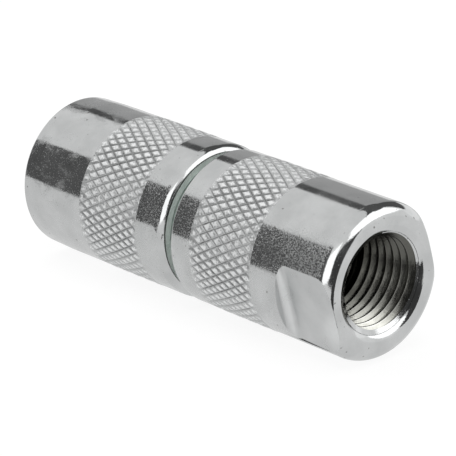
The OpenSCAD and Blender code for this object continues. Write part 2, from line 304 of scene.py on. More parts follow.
COUNTERSINK_SLOPE = math.tan(math.radians(COUNTERSINK_HALF_ANGLE))
NOSE_TAPER = (SLEEVE_R - NOSE_R) / (NOSE_END - NOSE_TAPER_START)

inlet_face_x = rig.box("inlet_body")[1].x
floor_z = cad_box[0][2]


def deselect_all():
    bpy.ops.object.select_all(action="DESELECT")


def make_active(obj):
    deselect_all()
    obj.select_set(True)
    bpy.context.view_layer.objects.active = obj


def settle(obj, name):
    """Names a new object and puts its place into its mesh."""
    obj.name = name
    make_active(obj)
    bpy.ops.object.transform_apply(location=True, rotation=True, scale=True)
    return obj


def start_editing(obj, mode="VERT"):
    make_active(obj)
    bpy.ops.object.mode_set(mode="EDIT")
    bpy.ops.mesh.select_mode(type=mode)


def stop_editing():
    bpy.ops.object.mode_set(mode="OBJECT")


def apply_modifier(obj, name):
    make_active(obj)
    bpy.ops.object.modifier_apply(modifier=name)


def join(main, *others):
    make_active(main)
    for other in others:
        other.select_set(True)
    bpy.ops.object.join()
    return main


def clean_up(obj):
    """Merges doubles and turns all faces outwards."""
    start_editing(obj)
    bpy.ops.mesh.select_all(action="SELECT")
    bpy.ops.mesh.remove_doubles(threshold=TOUCHING)
    bpy.ops.mesh.normals_make_consistent(inside=False)
    stop_editing()


def smooth(obj, angle=35):
    make_active(obj)
    bpy.ops.object.shade_smooth_by_angle(angle=math.radians(angle))


def even_out_shading(obj):
    """Lets wide faces keep their own direction beside small roundings."""
    weighted = obj.modifiers.new("weighted", "WEIGHTED_NORMAL")
    weighted.keep_sharp = True
    apply_modifier(obj, "weighted")


def on_section(distance, radius):
    """Point of the lengthwise section, above the axis."""
    return Vector((inlet_face_x - distance * MM, 0, radius * MM))


def draw_section(name, corners):
    """Closed outline, drawn by extruding one point from corner to corner."""
    points = [on_section(*corner) for corner in corners]
    deselect_all()
    bpy.ops.mesh.primitive_plane_add(size=MM, location=points[0])
    obj = settle(bpy.context.object, name)
    start_editing(obj)
    bpy.ops.mesh.select_all(action="SELECT")
    bpy.ops.mesh.merge(type="CENTER")
    for here, there in zip(points, points[1:] + points[:1]):
        bpy.ops.mesh.extrude_region_move(TRANSFORM_OT_translate={"value": there - here})
    bpy.ops.mesh.select_all(action="SELECT")
    bpy.ops.mesh.remove_doubles(threshold=TOUCHING)
    stop_editing()
    return obj


def round_corners(obj, corners, radius, segments=4):
    """Rounds corners of a section before it is spun."""
    places = [on_section(*corner) for corner in corners]
    start_editing(obj)
    bpy.ops.mesh.select_all(action="DESELECT")
    stop_editing()
    for vertex in obj.data.vertices:
        vertex.select = any((vertex.co - place).length < TOUCHING for place in places)
    start_editing(obj)
    bpy.ops.mesh.bevel(affect="VERTICES", offset=radius * MM, segments=segments)
    stop_editing()


def spin_round(obj, steps=ROUND_STEPS):
    start_editing(obj)
    bpy.ops.mesh.select_all(action="SELECT")
    bpy.ops.mesh.spin(
        steps=steps, angle=math.tau, center=(0, 0, 0), axis=(1, 0, 0), use_auto_merge=True
    )
    stop_editing()
    clean_up(obj)


def cut(obj, tool, operation="DIFFERENCE"):
    """Boolean cut with a tool that is then thrown away."""
    saw = obj.modifiers.new("cut", "BOOLEAN")
    saw.operation = operation
    saw.solver = "EXACT"
    saw.object = tool
    apply_modifier(obj, "cut")
    bpy.data.objects.remove(tool)


def break_edges(obj, width=0.07, angle=28):
    """Takes the sharpness off all edges, as plating does."""
    edges = obj.modifiers.new("edges", "BEVEL")
    edges.width = width * MM
    edges.segments = 2
    edges.limit_method = "ANGLE"
    edges.angle_limit = math.radians(angle)
    apply_modifier(obj, "edges")


def knurl_band(name, plain_r, start, turn):
    """One blunt diamond, copied round and along; the band's ends dive under the plain surface."""
    row = KNURL_LENGTH / KNURL_ROWS
    half_turn = math.pi / KNURL_COUNT
    low_r = plain_r - KNURL_LOW
    half_width = low_r * math.sin(half_turn)
    side_drop = low_r * (1 - math.cos(half_turn))
    height = KNURL_LOW + KNURL_PROUD
    deselect_all()
    bpy.ops.mesh.primitive_circle_add(vertices=4, radius=MM, fill_type="NGON")
    band = settle(bpy.context.object, name)
    start_editing(band)
    bpy.ops.mesh.select_all(action="SELECT")
    bpy.ops.transform.resize(value=(row, half_width, 1), center_override=(0, 0, 0))
    for inset, rise in DIAMOND_STEPS:
        bpy.ops.mesh.inset(thickness=inset * MM)
        bpy.ops.transform.translate(value=(0, 0, rise * height * MM))
    bpy.ops.mesh.poke(offset=DIAMOND_TIP * height * MM)
    bpy.ops.mesh.select_all(action="SELECT")
    bpy.ops.transform.translate(value=on_section(start + KNURL_FIRST_ROW, low_r))
    stop_editing()
    for vertex in band.data.vertices:
        if abs(vertex.co.y) > half_width * MM - TOUCHING:
            vertex.co.z -= side_drop * MM

    start_editing(band)
    bpy.ops.mesh.select_all(action="SELECT")
    bpy.ops.mesh.spin(
        steps=KNURL_COUNT - 1,
        angle=math.tau - 2 * half_turn,
        dupli=True,
        center=(0, 0, 0),
        axis=(1, 0, 0),
    )
    stop_editing()
    make_active(band)
    bpy.ops.object.duplicate()
    next_row = bpy.context.object
    next_row.rotation_euler.x = half_turn
    next_row.location.x = -row * MM
    settle(next_row, name + "_next_row")
    join(band, next_row)
    along = band.modifiers.new("along", "ARRAY")
    along.count = KNURL_ROWS // 2 + 1
    along.use_relative_offset = False
    along.use_constant_offset = True
    along.constant_offset_displace = (-2 * row * MM, 0, 0)
    apply_modifier(band, "along")
    band.rotation_euler.x = -math.radians(turn)
    settle(band, name)

    start_editing(band)
    for end, keep in ((start, 1), (start + KNURL_LENGTH, -1)):
        bpy.ops.mesh.select_all(action="SELECT")
        bpy.ops.mesh.bisect(plane_co=on_section(end, 0), plane_no=(keep, 0, 0), clear_outer=True)
    stop_editing()
    clean_up(band)
    wear_down(band, plain_r, start)
    middle = on_section(start + KNURL_LENGTH / 2, 0)
    start_editing(band, "EDGE")
    bpy.ops.mesh.select_all(action="DESELECT")
    bpy.ops.mesh.select_non_manifold(
        use_wire=False,
        use_boundary=True,
        use_multi_face=False,
        use_non_contiguous=False,
        use_verts=False,
    )
    for longer, narrower in KNURL_SKIRT:
        bpy.ops.mesh.extrude_region_move()
        bpy.ops.transform.resize(value=(longer, narrower, narrower), center_override=middle)
    bpy.ops.mesh.bridge_edge_loops()
    stop_editing()
    clean_up(band)
    smooth(band, 25)
    return band


def wear_down(band, plain_r, start):
    """Leaves the diamonds uneven, and shallow towards both ends, as the knurling wheel does."""
    ragged, ragged_over = 0.6, 0.7 * MM
    height_kept, unevenness, uneven_over = 0.9, 0.25, 2.5 * MM
    for vertex in band.data.vertices:
        distance = (inlet_face_x - vertex.co.x) / MM - start
        from_end = min(distance, KNURL_LENGTH - distance)
        pressed = from_end / KNURL_FADE * (1 + ragged * value_noise.noise(vertex.co / ragged_over))
        uneven = height_kept + unevenness * value_noise.noise(vertex.co / uneven_over)
        radius = math.hypot(vertex.co.y, vertex.co.z) / MM
        worn = plain_r + (radius - plain_r) * max(0, min(1, pressed)) * min(1, uneven)
        vertex.co.y *= worn / radius
        vertex.co.z *= worn / radius


def thread_ridge(name, start, end, root_r, crest_r):
    """Screw ridge of a right-hand thread, drawn as one tooth and run along a helix."""
    outwards = math.copysign(1, crest_r - root_r)
    foot_r = root_r - TOOTH_FOOT * outwards
    crest_end = end - FLANK * THREAD_PITCH
    crest_start = end - (FLANK + CREST) * THREAD_PITCH
    tooth_start = end - (2 * FLANK + CREST) * THREAD_PITCH
    tooth = draw_section(
        name,
        [
            (end, foot_r),
            (end, root_r),
            (crest_end, crest_r),
            (crest_start, crest_r),
            (tooth_start, root_r),
            (tooth_start, foot_r),
        ],
    )
    round_corners(tooth, [(crest_end, crest_r), (crest_start, crest_r)], CREST_ROUND, segments=2)
    helix = tooth.modifiers.new("helix", "SCREW")
    helix.axis = "X"
    helix.screw_offset = THREAD_PITCH * MM
    helix.iterations = round((end - start) / THREAD_PITCH)
    helix.steps = helix.render_steps = THREAD_STEPS
    helix.use_merge_vertices = False
    apply_modifier(tooth, "helix")
    start_editing(tooth)
    bpy.ops.mesh.select_all(action="SELECT")
    bpy.ops.mesh.fill_holes(sides=0)
    stop_editing()
    clean_up(tooth)
    smooth(tooth)
    return tooth


def flat_cutter(angle):
    """Milling cut for one wrench flat, with the cutter's round run-out."""
    deep = BODY_R
    length = FLAT_END + CUTTER_SPARE
    deselect_all()
    bpy.ops.mesh.primitive_cube_add(size=MM)
    cutter = bpy.context.object
    cutter.scale = (length, 3 * BODY_R, deep)
    cutter.location = on_section(FLAT_END - length / 2, FLAT_HALF_WIDTH + deep / 2)
    settle(cutter, "flat_cutter")
    end_x = on_section(FLAT_END, 0).x
    start_editing(cutter, "EDGE")
    bpy.ops.mesh.select_all(action="DESELECT")
    stop_editing()
    for edge in cutter.data.edges:
        ends = [cutter.data.vertices[i].co for i in edge.vertices]
        edge.select = all(
            abs(co.x - end_x) < TOUCHING and co.z < (FLAT_HALF_WIDTH + CUTTER_SPARE) * MM
            for co in ends
        )
    start_editing(cutter, "EDGE")
    bpy.ops.mesh.bevel(offset=FLAT_RUNOUT_R * MM, segments=10)
    stop_editing()
    cutter.rotation_euler.x = -math.radians(angle)
    return settle(cutter, "flat_cutter")


def countersink_cutter():
    """Cone that trims the first turn of the inlet thread."""
    wide_r = MOUTH_R + CUTTER_SPARE
    depth = wide_r / COUNTERSINK_SLOPE
    deselect_all()
    bpy.ops.mesh.primitive_cone_add(
        vertices=ROUND_STEPS,
        radius1=0,
        radius2=wide_r * MM,
        depth=depth * MM,
        location=on_section(MOUTH_R / COUNTERSINK_SLOPE - depth / 2, 0),
        rotation=(0, math.radians(90), 0),
    )
    return settle(bpy.context.object, "countersink_cutter")


def on_flat(s, r, x):
    """Finds the faces of the flats and of their run-outs, but not of the bevel at the inlet."""
    in_reach = FLAT_REACH[0] < s < FLAT_REACH[1] and FLAT_REACH_R[0] < r < FLAT_REACH_R[1]
    return in_reach and (abs(x) < FLAT_LEAN or s > BEVEL_REACH)


def make_inlet_body():
    knurl_end = KNURL_STARTS[0] + KNURL_LENGTH
    shell = draw_section(
        "inlet_body_shell",
        [
            (0, MOUTH_R),
            (0, FACE_R),
            (BEVEL_END, BODY_R),
            (KNURL_STARTS[0], BODY_R),
            (KNURL_STARTS[0], BODY_R - KNURL_SEAT),
            (knurl_end, BODY_R - KNURL_SEAT),
            (knurl_end, BODY_R),
            (SHOULDER, BODY_R),
            (SHOULDER, SPIGOT_R),
            (SPIGOT_LAND_END, SPIGOT_R),
            (SPIGOT_LAND_END + SPIGOT_CHAMFER, SPIGOT_CORE_R),
            (SPIGOT_END, SPIGOT_CORE_R),
            (SPIGOT_END, PISTON_BORE_R),
            (GLAND[1], PISTON_BORE_R),
            (GLAND[1], GLAND_R),
            (GLAND[0], GLAND_R),
            (GLAND[0], PISTON_BORE_R),
            (PISTON_BORE_START, PISTON_BORE_R),
            (PISTON_BORE_START, CHAMBER_R),
            (SEAT_END, CHAMBER_R),
            (SEAT_START, PASSAGE_R),
            (DRILL_END, PASSAGE_R),
            (TAP_HOLE_END, INLET_CREST_R),
            (THREAD_END, INLET_CREST_R),
            (THREAD_END, INLET_ROOT_R),
            ((MOUTH_R - INLET_ROOT_R) / COUNTERSINK_SLOPE, INLET_ROOT_R),
        ],
    )
    round_corners(shell, [(BEVEL_END, BODY_R)], BEVEL_ROUND, segments=10)
    round_corners(shell, [(SHOULDER, BODY_R)], SHOULDER_ROUND)
    round_corners(shell, [(0, FACE_R)], FACE_EDGE_ROUND, segments=6)
    round_corners(shell, [(0, MOUTH_R)], MOUTH_ROUND)
    round_corners(shell, [(SPIGOT_END, PISTON_BORE_R)], EDGE_ROUND, 2)
    spin_round(shell)
    for angle in FLAT_ANGLES:
        cut(shell, flat_cutter(angle))
    break_edges(shell, BROKEN_EDGE)
    smooth(shell)
    even_out_shading(shell)
    give(shell, zinc, dull_zinc, bore_zinc, milled_zinc, shoulder_shade_zinc)
    finish_faces(shell, MILLED, on_flat)
    # Painted shade: the shoulder deep in the gap takes the dark finish.
    finish_faces(
        shell, PAINTED_SHADE, lambda s, r, x: SHOULDER - SLACK < s and SPIGOT_R < r < BODY_R - SLACK
    )
    finish_faces(shell, DULL, lambda s, r, x: SHOULDER + SLACK < s and abs(r - SPIGOT_R) < SLACK)
    finish_faces(shell, BORE, lambda s, r, x: s < SEAT_START and r < INLET_ROOT_R + SLACK)
    inlet_thread = thread_ridge(
        "inlet_thread", THREAD_START, THREAD_END, INLET_ROOT_R, INLET_CREST_R
    )
    cut(inlet_thread, countersink_cutter())
    smooth(inlet_thread)
    even_out_shading(inlet_thread)
    give(inlet_thread, bore_zinc, zinc)
    finish_faces(inlet_thread, COUNTERSUNK, lambda s, r, x: s < TRIM_REACH and x > TRIM_LEAN)
    spigot_thread = thread_ridge("spigot_thread", *SPIGOT_THREAD, SPIGOT_CORE_R, SPIGOT_R)
    give(spigot_thread, dull_zinc)
    knurl = knurl_band("inlet_body_knurl", BODY_R, KNURL_STARTS[0], KNURL_TURNS[0])
    give(knurl, body_knurl_zinc)
    return join(shell, inlet_thread, spigot_thread, knurl)


def make_jaw_sleeve():
    knurl_end = KNURL_STARTS[1] + KNURL_LENGTH
    shell = draw_section(
        "jaw_sleeve_shell",
        [
            (SLEEVE_START, SLEEVE_BORE_R),
            (SLEEVE_START, SLEEVE_REAR_R),
            (SLEEVE_BEVEL_END, SLEEVE_R),
            (KNURL_STARTS[1], SLEEVE_R),
            (KNURL_STARTS[1], SLEEVE_R - KNURL_SEAT),
            (knurl_end, SLEEVE_R - KNURL_SEAT),
            (knurl_end, SLEEVE_R),
            (NOSE_TAPER_START - NOSE_TAPER_EASE, SLEEVE_R),
            (NOSE_TAPER_START, SLEEVE_R),
            (NOSE_TAPER_START + NOSE_TAPER_EASE, SLEEVE_R - NOSE_TAPER_EASE * NOSE_TAPER),
            (NOSE_END, NOSE_R),
            (NOSE_END, NOSE_HOLE_R),
            (RELIEF[1], CONE_REAR_R),
            (RELIEF[1], RELIEF_R),
            (RELIEF[0], RELIEF_R),
            (RELIEF[0], SLEEVE_BORE_R),
            (SLEEVE_GROOVE[1], SLEEVE_BORE_R),
            (SLEEVE_GROOVE[1], SLEEVE_GROOVE_R),
            (SLEEVE_GROOVE[0], SLEEVE_GROOVE_R),
            (SLEEVE_GROOVE[0], SLEEVE_BORE_R),
        ],
    )
    round_corners(shell, [(NOSE_END, NOSE_R)], NOSE_ROUND)
    round_corners(shell, [(SLEEVE_BEVEL_END, SLEEVE_R)], SLEEVE_ROUND, segments=8)
    round_corners(shell, [(SLEEVE_START, SLEEVE_BORE_R)], SLEEVE_MOUTH, segments=1)
    round_corners(shell, [(SLEEVE_START, SLEEVE_REAR_R), (NOSE_END, NOSE_HOLE_R)], EDGE_ROUND, 2)
    spin_round(shell)
    smooth(shell)
    even_out_shading(shell)
    give(shell, zinc, dull_zinc)
    finish_faces(
        shell,
        DULL,
        lambda s, r, x: s < NOSE_END - SLACK and (x > SQUARE_ON or r < SLEEVE_REAR_R - EDGE_ROUND),
    )
    knurl = knurl_band("jaw_sleeve_knurl", SLEEVE_R, KNURL_STARTS[1], KNURL_TURNS[1])
    give(knurl, sleeve_knurl_zinc)
    return join(shell, knurl)


def make_jaws():
    """One collet jaw, sawn out of a turned ring, and three turned copies."""
    jaw = draw_section(
        "collet_jaw_1",
        [
            (JAW_REAR, JAW_REAR_R),
            (JAW_FRONT, JAW_FRONT_R),
            (JAW_FRONT, JAW_LIP_R),
            (JAW_GRIP[1], JAW_GRIP_R),
            (JAW_GRIP[0], JAW_GRIP_R),
            (JAW_HEAD[1], JAW_HEAD_R),
            (JAW_HEAD[0], JAW_HEAD_R),
            (JAW_HEAD[0] - JAW_HEAD_R + JAW_TAIL_R, JAW_TAIL_R),
            (JAW_REAR, JAW_TAIL_R),
        ],
    )
    spin_round(jaw, JAW_STEPS)
    start_editing(jaw)
    for side in (-1, 1):
        across = Vector((0, side, 1)).normalized()
        bpy.ops.mesh.select_all(action="SELECT")
        bpy.ops.mesh.bisect(
            plane_co=across * JAW_KERF / 2 * MM, plane_no=across, use_fill=True, clear_inner=True
        )
    stop_editing()
    clean_up(jaw)
    break_edges(jaw)
    smooth(jaw)
    give(jaw, hardened)
    jaws = [jaw]
    for number in (2, 3, 4):
        make_active(jaw)
        bpy.ops.object.duplicate()
        copy = bpy.context.object
        copy.rotation_euler.x = -math.radians(90 * (number - 1))
        jaws.append(settle(copy, f"collet_jaw_{number}"))
    return jaws


def make_nozzle():
    tip = NOZZLE[1]
    nozzle = draw_section(
        "rubber_nozzle",
        [
            (NOZZLE[0], CHANNEL_R),
            (NOZZLE[0], NOZZLE_R),
            (tip, NOZZLE_R),
            (tip, NOZZLE_HOLLOW_R),
            (tip - NOZZLE_HOLLOW, CHANNEL_R),
        ],
    )
    round_corners(nozzle, [(tip, NOZZLE_R)], NOZZLE_RIM_ROUND)
    round_corners(nozzle, [(tip, NOZZLE_HOLLOW_R)], NOZZLE_HOLLOW_ROUND)
    spin_round(nozzle, NOZZLE_STEPS)
    smooth(nozzle)
    give(nozzle, nitrile)
    return nozzle


def coil_spring(name, node, wire_d, turns):
    """Spring in the place of the CAD's, wound from one circle of wire."""
    low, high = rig.box(node)
    wire_r = wire_d / 2 * MM
    deselect_all()
    bpy.ops.mesh.primitive_circle_add(
        vertices=WIRE_SIDES,
        radius=wire_r,
        location=(low.x + wire_r, 0, high.z - wire_r),
        rotation=(math.radians(90), 0, 0),
    )
    coil = settle(bpy.context.object, name)
    winding = coil.modifiers.new("winding", "SCREW")
    winding.axis = "X"
    winding.screw_offset = (high.x - low.x - 2 * wire_r) / turns
    winding.iterations = turns
    winding.steps = winding.render_steps = WIRE_STEPS
    winding.use_merge_vertices = False
    apply_modifier(coil, "winding")
    start_editing(coil)
    bpy.ops.mesh.select_all(action="SELECT")
    bpy.ops.mesh.fill_holes(sides=0)
    stop_editing()
    clean_up(coil)
    smooth(coil, 60)
    give(coil, wire)
    return coil


def shorten_with(coil, joint, stroke, fixed_end):
    """Lets a spring shorten towards its fixed end by its joint's whole stroke."""
    ends = [corner[0] for corner in coil.bound_box]
    keep = 1 - stroke * MM / (max(ends) - min(ends))
    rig.squash(coil, joint, (1, 0, 0), (fixed_end(ends), 0, 0), keep)


def new_material(name):
    material = bpy.data.materials.new(name)
    material.use_nodes = True
    nodes = material.node_tree.nodes
    return material, nodes, material.node_tree.links, nodes["Principled BSDF"]


def noise(nodes, links, vector, scale, detail=2.0):
    texture = nodes.new("ShaderNodeTexNoise")
    texture.inputs["Scale"].default_value = scale
    texture.inputs["Detail"].default_value = detail
    links.new(vector, texture.inputs["Vector"])
    return texture.outputs["Fac"]


def in_mm(nodes, links, stretch=(1, 1, 1)):
    """Object coordinates in mm."""
    place = nodes.new("ShaderNodeTexCoord")
    mapping = nodes.new("ShaderNodeMapping")
    mapping.inputs["Scale"].default_value = [axis / MM for axis in stretch]
    links.new(place.outputs["Object"], mapping.inputs["Vector"])
    return mapping.outputs["Vector"]


def ramp(nodes, links, value, stops):
    node = nodes.new("ShaderNodeValToRGB")
    for element, (position, colour) in zip(node.color_ramp.elements, stops):
        element.position = position
        element.color = (*colour, 1)
    links.new(value, node.inputs["Fac"])
    return node.outputs["Color"]


def bump(nodes, links, shader, height, distance):
    node = nodes.new("ShaderNodeBump")
    node.inputs["Distance"].default_value = distance * MM
    links.new(height, node.inputs["Height"])
    links.new(node.outputs["Normal"], shader.inputs["Normal"])


def radius_in_mm(nodes, links):
    """Distance from the coupler's axis, in mm."""
    length = nodes.new("ShaderNodeVectorMath")
    length.operation = "LENGTH"
    links.new(in_mm(nodes, links, (0, 1, 1)), length.inputs[0])
    return length.outputs["Value"]


def between(nodes, links, value, start, end, low=0.0, high=1.0):
    """Runs from low to high while a value goes from start to end, and stays there."""
    node = nodes.new("ShaderNodeMapRange")
    for name, number in (("From Min", start), ("From Max", end), ("To Min", low), ("To Max", high)):
        node.inputs[name].default_value = number
    links.new(value, node.inputs["Value"])
    return node.outputs["Result"]


def spread(nodes, links, value, low, high):
    """Stretches a noise value to a range."""
    return between(nodes, links, value, *NOISE_RANGE, low, high)


def combine(nodes, links, operation, first, second):
    node = nodes.new("ShaderNodeMath")
    node.operation = operation
    for socket, value in zip(node.inputs, (first, second)):
        if isinstance(value, float):
            socket.default_value = value
        else:
            links.new(value, socket)
    return node.outputs["Value"]


def blend(nodes, links, share, first, second):
    """Mixes two colours, given as sockets or as numbers."""
    node = nodes.new("ShaderNodeMix")
    node.data_type = "RGBA"
    links.new(share, node.inputs["Factor"])
    for socket, colour in zip((node.inputs[6], node.inputs[7]), (first, second)):
        if isinstance(colour, tuple):
            socket.default_value = (*colour, 1)
        else:
            links.new(colour, socket)
    return node.outputs[2]


def mottle(nodes, links, shader, pattern, tones, smoothest, roughest):
    """Lets one pattern vary the colour and the roughness of a finish."""
    links.new(ramp(nodes, links, pattern, tones), shader.inputs["Base Color"])
    links.new(spread(nodes, links, pattern, smoothest, roughest), shader.inputs["Roughness"])


def plated_zinc():
    """Bright zinc plate with cloudy smudges, small pits and frosted specks, mostly by the inlet."""
    material, nodes, links, shader = new_material("zinc_plate")
    clouds = noise(nodes, links, in_mm(nodes, links), 0.35, 3.0)
    pits = between(nodes, links, noise(nodes, links, in_mm(nodes, links), 1.9, 1.0), 0.74, 0.79)
    plate = ramp(nodes, links, clouds, [(0.35, (0.60, 0.61, 0.61)), (0.65, (0.69, 0.70, 0.70))])
    links.new(blend(nodes, links, pits, plate, (0.30, 0.30, 0.29)), shader.inputs["Base Color"])
    place = nodes.new("ShaderNodeSeparateXYZ")
    links.new(in_mm(nodes, links), place.inputs["Vector"])
    frost = between(nodes, links, place.outputs["X"], -8.0, -3.0, 0.15, 0.22)
    behind_nose = between(nodes, links, place.outputs["X"], -34.0, -27.0, 0.4, 1.0)
    below_top = between(nodes, links, place.outputs["Z"], 5.0, 6.5, 1.0, 0.0)
    on_outside = between(nodes, links, radius_in_mm(nodes, links), 7.6, 7.72)
    for share in (behind_nose, below_top, on_outside):
        frost = combine(nodes, links, "MULTIPLY", frost, share)
    grain = noise(nodes, links, in_mm(nodes, links, (1.3, 1, 1)), 7.5, 2.0)
    specks = between(nodes, links, combine(nodes, links, "ADD", grain, frost), 0.66, 0.80)
    smear = between(nodes, links, clouds, 0.4, 0.7, 0.04, 0.14)
    smudges = noise(nodes, links, in_mm(nodes, links, (1, 1.6, 1.6)), 0.7, 3.0)
    fingered = between(nodes, links, smudges, 0.46, 0.66, 0.0, 0.22)
    on_nose = between(nodes, links, place.outputs["X"], -36.0, -33.0, 1.0, 0.0)
    handled = combine(nodes, links, "MULTIPLY", fingered, on_nose)
    rough = combine(nodes, links, "MULTIPLY", specks, 0.36)
    for more in (smear, handled):
        rough = combine(nodes, links, "ADD", rough, more)
    links.new(rough, shader.inputs["Roughness"])
    links.new(between(nodes, links, specks, 0.0, 1.0, 1.0, 0.75), shader.inputs["Metallic"])
    bump(nodes, links, shader, grain, 0.003)
    return material


def knurled_plate(name, plain_r):
    """Plate torn up by the knurling wheel, frosted on the tops, with painted shade in the grooves and on the greyer
    sides and a painted highlight on the nearly white tops.
    """
    material, nodes, links, shader = new_material(name)
    grain = noise(nodes, links, in_mm(nodes, links), 5.0, 2.0)
    ragged = spread(nodes, links, grain, -0.03, 0.03)
    height = combine(nodes, links, "ADD", radius_in_mm(nodes, links), ragged)
    low_r, top_r = plain_r - KNURL_LOW, plain_r + KNURL_PROUD
    sides = between(nodes, links, height, low_r, low_r + 0.06)
    tops_painted_highlight = between(nodes, links, height, top_r - 0.05, top_r - 0.02)
    # Painted shade: the groove bottoms are painted dark and the sides grey, for the shade between the diamonds.
    flanks = blend(nodes, links, sides, (0.27, 0.27, 0.27), (0.60, 0.61, 0.61))
    # Painted highlight: the diamonds' tops are painted nearly white.
    links.new(blend(nodes, links, tops_painted_highlight, flanks, (0.95, 0.96, 0.96)), shader.inputs["Base Color"])
    links.new(between(nodes, links, tops_painted_highlight, 0.0, 1.0, 0.7, 0.2), shader.inputs["Metallic"])
    links.new(spread(nodes, links, grain, 0.28, 0.42), shader.inputs["Roughness"])
    bump(nodes, links, shader, grain, 0.03)
    return material


def milled_plate():
    """Plate on the milled wrench flats, with faint cutter marks."""
    material, nodes, links, shader = new_material("zinc_milled")
    shader.inputs["Metallic"].default_value = 1.0
    clouds = noise(nodes, links, in_mm(nodes, links), 0.4, 3.0)
    tones = [(0.35, (0.58, 0.59, 0.59)), (0.65, (0.66, 0.67, 0.67))]
    mottle(nodes, links, shader, clouds, tones, 0.26, 0.34)
    bump(nodes, links, shader, noise(nodes, links, in_mm(nodes, links, (6, 1, 1)), 0.8, 2.0), 0.004)
    return material


def dull_plate():
    """Thin greenish plate, painted pale as painted light inside the gap between the shells, and less metallic towards
    the gap.
    """
    material, nodes, links, shader = new_material("zinc_dull")
    place = nodes.new("ShaderNodeSeparateXYZ")
    links.new(in_mm(nodes, links), place.inputs["Vector"])
    diffuse_towards_gap = between(nodes, links, place.outputs["X"], -23.2, -21.8, 0.92, 0.1)
    links.new(diffuse_towards_gap, shader.inputs["Metallic"])
    clouds = noise(nodes, links, in_mm(nodes, links), 0.8, 3.0)
    # Painted light: pale tones that brighten the faces inside the gap.
    tones = [(0.35, (0.74, 0.82, 0.78)), (0.65, (0.84, 0.91, 0.87))]
    mottle(nodes, links, shader, clouds, tones, 0.25, 0.4)
    bump(nodes, links, shader, noise(nodes, links, in_mm(nodes, links), 5.0, 2.0), 0.01)
    return material


def shoulder_shade_plate():
    """Plate on the shoulder, painted nearly black as painted shade deep in the gap."""
    material, nodes, links, shader = new_material("zinc_painted_shade")
    shader.inputs["Metallic"].default_value = 1.0
    painted_shade_pattern = noise(nodes, links, in_mm(nodes, links), 0.8, 3.0)
    # Painted shade: dark tones for the shade deep in the gap.
    tones = [(0.35, (0.10, 0.11, 0.10)), (0.65, (0.16, 0.17, 0.16))]
    mottle(nodes, links, shader, painted_shade_pattern, tones, 0.2, 0.35)
    return material


def plate_in_bore():
    """Plate in the inlet, painted darker on its upper back side and deeper in, as painted shade.

    The thread's crests are painted nearly white, as a painted highlight.
    """
    material, nodes, links, shader = new_material("zinc_bore")
    shader.inputs["Metallic"].default_value = 1.0
    clouds = noise(nodes, links, in_mm(nodes, links), 1.5, 3.0)
    flanks = ramp(nodes, links, clouds, [(0.35, (0.50, 0.50, 0.46)), (0.65, (0.66, 0.66, 0.61))])
    radius = radius_in_mm(nodes, links)
    # Painted highlight: the thread's crests are painted nearly white.
    past_crest_highlight = between(nodes, links, radius, INLET_CREST_R + 0.02, INLET_CREST_R + 0.1)
    colour = blend(nodes, links, past_crest_highlight, (0.86, 0.86, 0.82), flanks)
    place = nodes.new("ShaderNodeSeparateXYZ")
    links.new(in_mm(nodes, links), place.inputs["Vector"])
    # Painted shade: the upper back side of the bore is painted dark.
    up_and_back = combine(nodes, links, "ADD", place.outputs["Y"], place.outputs["Z"])
    painted_shade_pattern = between(nodes, links, up_and_back, -4.0, 0.5, 0.0, 0.92)
    colour = blend(nodes, links, painted_shade_pattern, colour, (0.10, 0.10, 0.09))
    # Painted shade: deeper in the bore the colour darkens nearly to black.
    depth = between(nodes, links, place.outputs["X"], -2.0, -7.0)
    links.new(blend(nodes, links, depth, colour, (0.08, 0.08, 0.07)), shader.inputs["Base Color"])
    links.new(spread(nodes, links, clouds, 0.16, 0.26), shader.inputs["Roughness"])
    bump(nodes, links, shader, noise(nodes, links, in_mm(nodes, links), 5.0, 2.0), 0.01)
    return material


def ground_steel():
    material, nodes, links, shader = new_material("hardened_steel")
    shader.inputs["Metallic"].default_value = 1.0
    lines = noise(nodes, links, in_mm(nodes, links, (8, 1, 1)), 1.5, 3.0)
    tones = [(0.3, (0.30, 0.30, 0.31)), (0.7, (0.44, 0.44, 0.46))]
    mottle(nodes, links, shader, lines, tones, 0.22, 0.36)
    bump(nodes, links, shader, lines, 0.004)
    return material


def drawn_wire():
    material, nodes, links, shader = new_material("spring_steel")
    shader.inputs["Metallic"].default_value = 1.0
    drag = noise(nodes, links, in_mm(nodes, links), 4.0, 3.0)
    tones = [(0.3, (0.46, 0.47, 0.49)), (0.7, (0.58, 0.59, 0.61))]
    mottle(nodes, links, shader, drag, tones, 0.25, 0.35)
    return material


def moulded_nitrile():
    material, nodes, links, shader = new_material("nitrile")
    skin = noise(nodes, links, in_mm(nodes, links), 5.0, 3.0)
    tones = [(0.3, (0.018, 0.018, 0.02)), (0.7, (0.035, 0.035, 0.037))]
    mottle(nodes, links, shader, skin, tones, 0.45, 0.6)
    bump(nodes, links, shader, skin, 0.01)
    return material


def give(obj, *materials):
    obj.data.materials.clear()
    for material in materials:
        obj.data.materials.append(material)


def finish_faces(obj, slot, wanted):
    """Puts a finish on the wanted faces.

    They are told by s, their distance from the inlet face, r, their radius, and x, how squarely
    they face the way that the inlet does.
    """
    for face in obj.data.polygons:
        distance = (inlet_face_x - face.center.x) / MM
        radius = math.hypot(face.center.y, face.center.z) / MM
        if wanted(distance, radius, face.normal.x):
            face.material_index = slot


def glowing(name, brightness):
    material = bpy.data.materials.new(name)
    material.use_nodes = True
    nodes = material.node_tree.nodes
    nodes.clear()
    glow = nodes.new("ShaderNodeEmission")
    glow.inputs["Color"].default_value = (1, 1, 1, 1)
    glow.inputs["Strength"].default_value = brightness
    out = nodes.new("ShaderNodeOutputMaterial")
    material.node_tree.links.new(glow.outputs["Emission"], out.inputs["Surface"])
    return material


